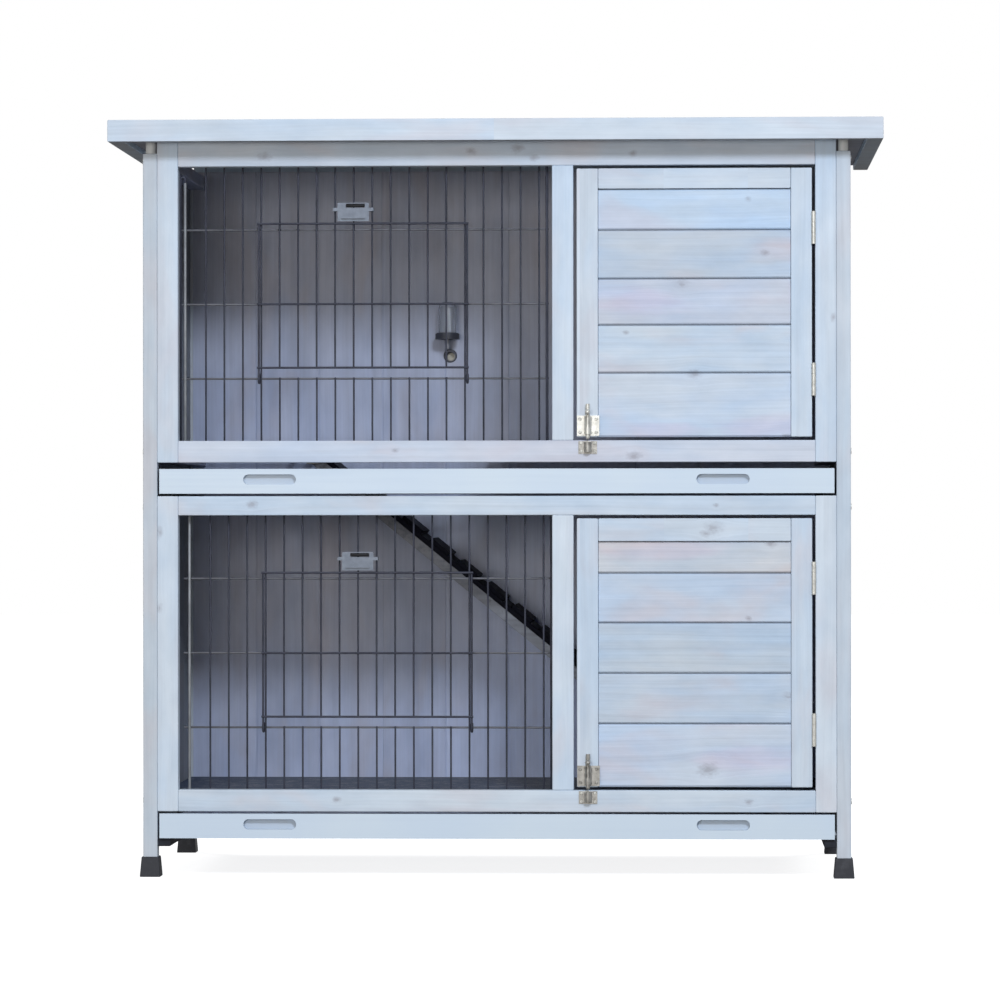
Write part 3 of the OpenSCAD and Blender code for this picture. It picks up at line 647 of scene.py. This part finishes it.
frame_member("upper_left_stile", "z", 2.1)
frame_member("upper_middle_stile", "z", 3.4)
frame_member("upper_right_stile", "z", 4.7, ((0.665, 0.401, 0.004),))
frame_member("lower_left_stile", "z", 5.2, ((0.411, -0.4025, 0.005), (0.321, -0.402, 0.004)))
frame_member("lower_middle_stile", "z", 6.9)
frame_member("lower_right_stile", "z", 7.3)
# The upper top rail's tint makes it warmer and darker: a painted shade for its place under the roof's
# overhang
frame_member("upper_top_rail", "x", 8.8,
             ((-0.276, 0.858, 0.006), (-0.029, 0.864, 0.005), (0.026, 0.868, 0.006),
                                          (0.046, 0.856, 0.004), (0.164, 0.861, 0.004)), (1.0, 0.95, 0.92))
frame_member("upper_bottom_rail", "x", 9.4, ((0.1645, 0.5005, 0.006), (-0.12, 0.508, 0.003)),
             (0.97, 0.94, 0.96))
frame_member("lower_top_rail", "x", 10.6, ((-0.291, 0.444, 0.005), (0.262, 0.442, 0.003)))
frame_member("lower_bottom_rail", "x", 11.5, ((-0.19, 0.092, 0.004), (0.30, 0.09, 0.004)))


def rail_mask(storey):
    low, high = DOOR[storey]
    rail = OPENING[storey] + PLANK_JOINTS[storey][-1]
    centre, reach = (low.x + high.x) / 2, (high.x - low.x) / 2 - 0.0256

    def mask(s):
        tall = s.math("GREATER_THAN", s.z, rail)
        inner = s.math("LESS_THAN", s.math("ABSOLUTE", s.math("SUBTRACT", s.x, centre)), reach)
        return s.math("MULTIPLY", tall, inner)

    return mask


for i, storey in enumerate(STOREYS):
    frame_mat = wood(f"{storey}_door_frame_wood", "z", cross=(rail_mask(storey), "x"),
                     boards=(("x", 0.2, 0.1),), seed=21.0 + i,
                     knots=() if storey == "upper" else ((0.2585, 0.4155, 0.008), (0.250, 0.409, 0.005)))
    dress(frame_mat, f"{storey}_door_frame", edge=0.0012)
    edges = [OPENING[storey] + h for h in PLANK_JOINTS[storey]]
    if storey == "upper":
        knots = ((0.221, 0.705, 0.006), (0.236, 0.5985, 0.006), (0.320, 0.742, 0.004), (0.165, 0.516, 0.005),
                 (0.345, 0.522, 0.006), (0.155, 0.648, 0.003), (0.30, 0.806, 0.003))
    else:
        knots = ((0.327, 0.397, 0.005), (0.252, 0.1285, 0.009), (0.349, 0.215, 0.006), (0.30, 0.308, 0.003))
    levels = [OPENING[storey]] + edges
    tints = [(band("z", levels[n], levels[n + 1]), tint) for n, tint in enumerate(PLANK_TINTS[storey])]
    plank_mat = wood(f"{storey}_plank_wood", "x", tones=PLANKS, joints=("z", edges), seams=0.45, knots=knots,
                     seed=31.0 + 5 * i,
                     tints=tints + PLANK_PATCHES[storey])
    dress(plank_mat, f"{storey}_door_planks", edge=0.0006)

wall_boards = (("y", -0.185, 0.074),)
# The side walls' faces that look at each other get a painted shade
side_wood = wood("side_wall_wood", "z", boards=wall_boards, seed=41.0, stray=0.3, bare_wood_and_shade=inner_side)
dress(side_wood, "upper_left_wall", "upper_right_wall", "lower_left_wall", "lower_right_wall", edge=0.0006)


def painted_light_low(s):
    """Painted light: the inside is lighter and bluer towards each floor, where the light falls, and on the
    boards behind the ramp's foot.
    """
    lower = s.math("LESS_THAN", s.z, 0.45)
    height = s.math("SUBTRACT", s.z,
                    s.math("MULTIPLY_ADD", lower, -(OPENING["upper"] - OPENING["lower"]), OPENING["upper"]))
    return s.step(height, 0.24, 0.02)


# Painted light: the lower storey's back wall is lighter and bluer behind the ramp's foot
def painted_light_behind_ramp(s):
    return s.math("MULTIPLY", s.math("LESS_THAN", s.z, 0.45), s.step(s.x, -0.16, 0.06))


# The back wall's tints are painted light: lighter and bluer low in each storey and behind the ramp's foot
back_wood = wood("back_wall_wood", "z", tones=INSIDE, boards=(("x", -0.4045, 0.0809),), seed=43.0, stray=0.25,
                 tints=((painted_light_low, (0.97, 1.04, 1.16)), (painted_light_behind_ramp, (1.07, 1.12, 1.2))))
dress(back_wood, "upper_back_wall", "lower_back_wall", edge=0.0005)
dress(wood("side_rail_wood", "y", tones=INSIDE, boards=(("x", -5.0, 5.0), ("z", 0.25, 0.4)), seed=47.0),
      "side_rails", edge=0.001)
dress(wood("rear_rail_wood", "x", boards=(("z", 0.2, 0.2),), seed=51.0, stray=0.3), "rear_rails", edge=0.0012)
low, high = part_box("roof_deck")
deck_boards = (("y", low.y, (high.y - low.y) / 5),)
# The roof's undersides get a painted shade
dress(wood("roof_deck_wood", "x", tones=INSIDE, boards=deck_boards, seed=53.0, stray=0.25, bare_wood_and_shade=underside),
      "roof_deck", edge=0.0006)
fascia_cross = (lambda s: s.math("GREATER_THAN", s.y, -0.2329), "y")
dress(wood("roof_board_wood", "x", cross=fascia_cross, boards=(("x", -5.0, 5.0),), seed=57.0, bare_wood_and_shade=underside),
      "roof_boards", edge=0.0012)
dress(wood("tray_pan_wood", "x", tones=INSIDE, seed=61.0), "upper_tray_pan", "lower_tray_pan", edge=0.0006)

dress(paint("tray_paint"), "upper_tray_front", "lower_tray_front", edge=0.001)
dress(felt("roof_felt_granules"), "roof_felt")
slope = math.radians(39.2)
dress(ramp_wood("ramp_board_wood", slope), "ramp", edge=0.0008)
dress(dark_strip("cleat_wood", srgb(14, 16, 27), srgb(84, 92, 108), 0.62), "ramp_cleats", edge=0.0008)
# The runners' near-black is a painted shade, for the shade under the trays
dress(dark_strip("runner_wood", srgb(40, 42, 48), srgb(110, 112, 118), 0.68), "tray_runners", edge=0.0008)

dress(plastic("foot_plastic", srgb(29, 32, 41), 0.5, dust=0.12), "feet", edge=0.0009)
dress(plastic("pad_plastic", srgb(214, 216, 214), 0.4, dust=0.15), "roof_pads", edge=0.0006)
dress(bottle_cap_plastic("cap_plastic"), "bottle_cap")
dress(plug_rubber("plug_rubber"), "spout_hole_plug")
dress(plastic("holder_plastic", srgb(58, 61, 70), 0.4, dust=0.2), "bottle_holder")
dress(plastic("floor_coating", srgb(54, 66, 87), 0.4, grain=500.0, dust=0.3), "upper_floor_grid",
      "lower_floor_grid")

bright = metal("zinc_hardware", srgb(214, 213, 205), srgb(172, 171, 164), 0.32, 0.3, shine=0.55)
worn = metal("aged_hardware", srgb(168, 166, 160), srgb(124, 121, 114), 0.34, 0.5, shine=0.55)
dress(bright, "frame_hinge_leaves", "hinge_pins", "roof_hinge_leaves", "upper_door_hinge_leaves",
      "lower_door_hinge_leaves", "frame_screws", "upper_bolt_plate", "upper_bolt")
dress(worn, "lower_bolt_plate", "lower_bolt", "bolt_keepers", "ramp_pivot")
thin_wire = wire("panel_wire", srgb(62, 65, 78), 0.1)
# The level wires get a lighter copy of the panel wire's colour, a painted highlight for the light along their
# tops
level_wire = wire("level_wire", srgb(110, 112, 119), 0.15)
dress(thin_wire, "upper_wire_door", "lower_wire_door")
# The latch plates' steel is given a dark blue-grey, a painted reflection of dark surroundings in the zinc
dress(metal("latch_plate", srgb(112, 120, 132), srgb(90, 97, 108), 0.38, 0.2, shine=0.35), "upper_latch",
      "lower_latch")
dress(clear("bottle_plastic", srgb(216, 222, 232)), "bottle")
slot_shade_plastic = plastic("slot_shade_plastic", srgb(12, 13, 18), 0.6, dust=0.06)

# ---------------------------------------------------------------- wire panels: round, welded wires

FIRST, PITCH = -0.3702, 0.02218
LEFT_EDGE, RIGHT_EDGE = -0.373, 0.0605
SHIFT = {"lower": 0.005, "upper": 0.0}
LEVEL_Y, UPRIGHT_Y = -0.1834, -0.1854
HAIRPIN_TOP, HAIRPIN_R = 0.8333, 0.0028
LEVEL_R, UPRIGHT_R, EDGE_R = 0.00125, 0.0011, 0.0017
UPRIGHTS = range(1, 20)
DOORWAY_LEFT, DOORWAY_RIGHT = 4, 15  # the uprights beside the doorway, which has none
PAST, PAST_LEFT, PAST_RIGHT = 0.0015, 0.007, 0.002  # how far a wire runs past the one it ends on
# The left edge wire gets a lighter copy of the wire's colour, a painted highlight for the light it catches in
# front of the shaded side wall
bright_wire = wire("edge_wire", srgb(150, 153, 156), 0.35)
for storey in STOREYS:
    low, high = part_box(f"{storey}_wire_panel")
    levels = [low.z + 0.005 + 0.089 * i for i in range(5)]
    x0, x1, first = LEFT_EDGE + SHIFT[storey], RIGHT_EDGE + SHIFT[storey], FIRST + SHIFT[storey]
    bm = bmesh.new()
    left, right = x0 - PAST_LEFT, x1 + PAST_RIGHT
    for i, z in enumerate(levels):
        if i == 2:
            rod(bm, (left, LEVEL_Y, z), (first + DOORWAY_LEFT * PITCH + PAST, LEVEL_Y, z), LEVEL_R)
            rod(bm, (first + DOORWAY_RIGHT * PITCH - PAST, LEVEL_Y, z), (right, LEVEL_Y, z), LEVEL_R)
        else:
            rod(bm, (left, LEVEL_Y, z), (right, LEVEL_Y, z), LEVEL_R)
    mesh_object(f"{storey}_wire_levels", bm, level_wire, "hutch")
    bm = bmesh.new()
    for k in UPRIGHTS:
        x = first + PITCH * k
        if DOORWAY_LEFT < k < DOORWAY_RIGHT:
            rod(bm, (x, UPRIGHT_Y, low.z), (x, UPRIGHT_Y, levels[1] + PAST), UPRIGHT_R)
            rod(bm, (x, UPRIGHT_Y, levels[3] - PAST), (x, UPRIGHT_Y, high.z), UPRIGHT_R)
        else:
            rod(bm, (x, UPRIGHT_Y, low.z), (x, UPRIGHT_Y, high.z), UPRIGHT_R)
    panel = mesh_object(f"{storey}_wire_grille", bm, thin_wire, "hutch")
    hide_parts(f"{storey}_wire_panel")
    y = UPRIGHT_Y + 0.0003
    bm = bmesh.new()
    rod(bm, (x0, y, low.z), (x0, y, high.z if storey == "lower" else HAIRPIN_TOP - 0.004), EDGE_R, 16)
    mesh_object(f"{storey}_wire_left_edge", bm, bright_wire, "hutch")
    bm = bmesh.new()
    rod(bm, (x1, y, low.z), (x1, y, high.z), EDGE_R, 16)
    if storey == "upper":
        # The upper panel's outer wire turns back on itself in a narrow hairpin under the top rail. Its first
        # leg is drawn in the lighter edge wire, and the bend and returning leg in the dark panel wire: one
        # wire given a lit and a shaded colour, painted light and shade
        bend = [(x0, y, HAIRPIN_TOP - 0.0045), (x0, y, HAIRPIN_TOP)]
        for i in range(1, 12):
            t = math.pi * i / 12
            bend.append((x0 - HAIRPIN_R + HAIRPIN_R * math.cos(t), y, HAIRPIN_TOP + HAIRPIN_R * math.sin(t)))
        bend += [(x0 - 2 * HAIRPIN_R, y, HAIRPIN_TOP), (x0 - 2 * HAIRPIN_R, y, low.z)]
        tube(bm, bend, 0.0015, 14)
    mesh_object(f"{storey}_wire_edges", bm, thin_wire, "hutch")

for storey in STOREYS:
    # A near-black rod fills most of the latch's slot: a painted shade for the dark slot
    low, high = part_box(f"{storey}_latch")
    x = (low.x + high.x) / 2
    bm = bmesh.new()
    rod(bm, (x - 0.0085, low.y + 0.0021, high.z - 0.0035), (x + 0.0135, low.y + 0.0021, high.z - 0.0035),
        0.0021, 14)
    mesh_object(f"{storey}_latch_slot_shade", bm, slot_shade_plastic, f"{storey}_latch")

# ---------------------------------------------------------------- screws and nails

for storey in STOREYS:
    low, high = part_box(f"{storey}_bolt_plate")
    bm = bmesh.new()
    for x in (low.x + 0.0035, high.x - 0.0035, high.x - 0.0105):
        for z in (low.z + 0.004, high.z - 0.004):
            screw(bm, (x, FRONT - 0.0012, z), (0, -1, 0), 0.002, 0.0009)
    mesh_object(f"{storey}_bolt_screws", bm, bright if storey == "upper" else worn, f"{storey}_door")

keeper_low, keeper_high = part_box("bolt_keepers")
bm = bmesh.new()
for storey in STOREYS:
    for x in (keeper_low.x + 0.003, keeper_high.x - 0.003):
        for z in (OPENING[storey] - 0.0035, OPENING[storey] - 0.0135):
            screw(bm, (x, FRONT - 0.0012, z), (0, -1, 0), 0.0018, 0.0008)
mesh_object("keeper_screws", bm, bright, "hutch")

NAIL_GAPS, NAIL_INSET = 12, 0.02
low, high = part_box("roof_felt")
bm = bmesh.new()
for i in range(NAIL_GAPS + 1):
    x = low.x + NAIL_INSET + i * (high.x - low.x - 2 * NAIL_INSET) / NAIL_GAPS
    for y in (low.y + 0.012, high.y - 0.012):
        screw(bm, (x, y, high.z - 0.0006), (0, 0, 1), 0.0035, 0.0006, cross=False)
mesh_object("felt_nails", bm, bright, "roof")

# ---------------------------------------------------------------- stage, lights, camera

floor = bmesh.new()
bmesh.ops.create_circle(floor, cap_ends=True, radius=14.0, segments=96)
floor_mesh = bpy.data.meshes.new("floor")
floor.to_mesh(floor_mesh)
floor.free()
floor_obj = bpy.data.objects.new("floor", floor_mesh)
bpy.context.scene.collection.objects.link(floor_obj)
s = Shade("floor_pale")
s.set(Base_Color=(0.55, 0.555, 0.56, 1.0), Roughness=s.math("MULTIPLY_ADD", s.noise(s.place, 3.0), 0.1, 0.8))
s.bsdf.inputs["Specular IOR Level"].default_value = 0.0
s.bsdf.inputs["Emission Color"].default_value = (1.0, 1.0, 1.0, 1.0)
s.bsdf.inputs["Emission Strength"].default_value = 0.8
floor_mesh.materials.append(s.mat)
floor_obj.visible_diffuse = False
floor_obj.visible_glossy = False
floor_obj.visible_transmission = False

# A white studio to the camera, and a softer light to the object, weaker from below
ABOVE, BELOW = 0.5, 0.24
world = bpy.data.worlds.new("studio")
bpy.context.scene.world = world
world.use_nodes = True
tree = world.node_tree
back = tree.nodes["Background"]
coord = tree.nodes.new("ShaderNodeTexCoord")
parts = tree.nodes.new("ShaderNodeSeparateXYZ")
tree.links.new(coord.outputs["Generated"], parts.inputs[0])
height = tree.nodes.new("ShaderNodeMapRange")
height.interpolation_type = "SMOOTHSTEP"
for socket, value in zip(height.inputs[1:5], (-0.35, 0.25, BELOW, ABOVE)):
    socket.default_value = value
tree.links.new(parts.outputs[2], height.inputs[0])
seen = tree.nodes.new("ShaderNodeLightPath")
strength = tree.nodes.new("ShaderNodeMix")
tree.links.new(seen.outputs["Is Camera Ray"], strength.inputs[0])
tree.links.new(height.outputs[0], strength.inputs[2])
strength.inputs[3].default_value = 1.0
tree.links.new(strength.outputs[0], back.inputs["Strength"])
tint = tree.nodes.new("ShaderNodeMix")
tint.data_type = "RGBA"
tree.links.new(seen.outputs["Is Camera Ray"], tint.inputs[0])
tint.inputs[6].default_value = (1.0, 0.985, 0.965, 1.0)
tint.inputs[7].default_value = (1.0, 1.0, 1.0, 1.0)
tree.links.new(tint.outputs[2], back.inputs["Color"])


def area(name, place, target, size, power, colour=(1.0, 1.0, 1.0)):
    data = bpy.data.lights.new(name, "AREA")
    data.shape = "RECTANGLE"
    data.size, data.size_y = size
    data.energy = power
    data.color = colour
    obj = bpy.data.objects.new(name, data)
    obj.location = place
    obj.rotation_euler = (Vector(target) - Vector(place)).to_track_quat("-Z", "Y").to_euler()
    obj.visible_camera = False
    bpy.context.scene.collection.objects.link(obj)


area("key", (0.9, -3.6, 2.4), (0.0, 0.0, 0.45), (0.8, 0.6), 78.0, (0.88, 0.955, 1.09))
area("front_fill", (-0.7, -4.8, 0.75), (0.0, 0.0, 0.5), (1.4, 0.8), 53.0, (1.03, 1.0, 0.97))
area("fill_left", (-3.2, 2.6, 2.0), (0.0, 0.0, 0.45), (1.2, 1.2), 66.0)
area("fill_right", (3.2, 2.6, 2.0), (0.0, 0.0, 0.45), (1.2, 1.2), 66.0)

camera = bpy.data.cameras.new("camera")
camera.sensor_width = 36.0
camera.lens = 163.5
camera.clip_end = 100.0
camera_obj = bpy.data.objects.new("camera", camera)
heading = Matrix.Rotation(math.radians(2.4441), 4, "Z")
tilt = Matrix.Rotation(math.radians(90.1909), 4, "X")
roll = Matrix.Rotation(math.radians(-0.05), 4, "Z")
camera_obj.matrix_world = Matrix.Translation((0.2354, -5.6024, 0.4311)) @ heading @ tilt @ roll
bpy.context.scene.collection.objects.link(camera_obj)
bpy.context.scene.camera = camera_obj

bpy.context.scene.view_settings.view_transform = "Standard"
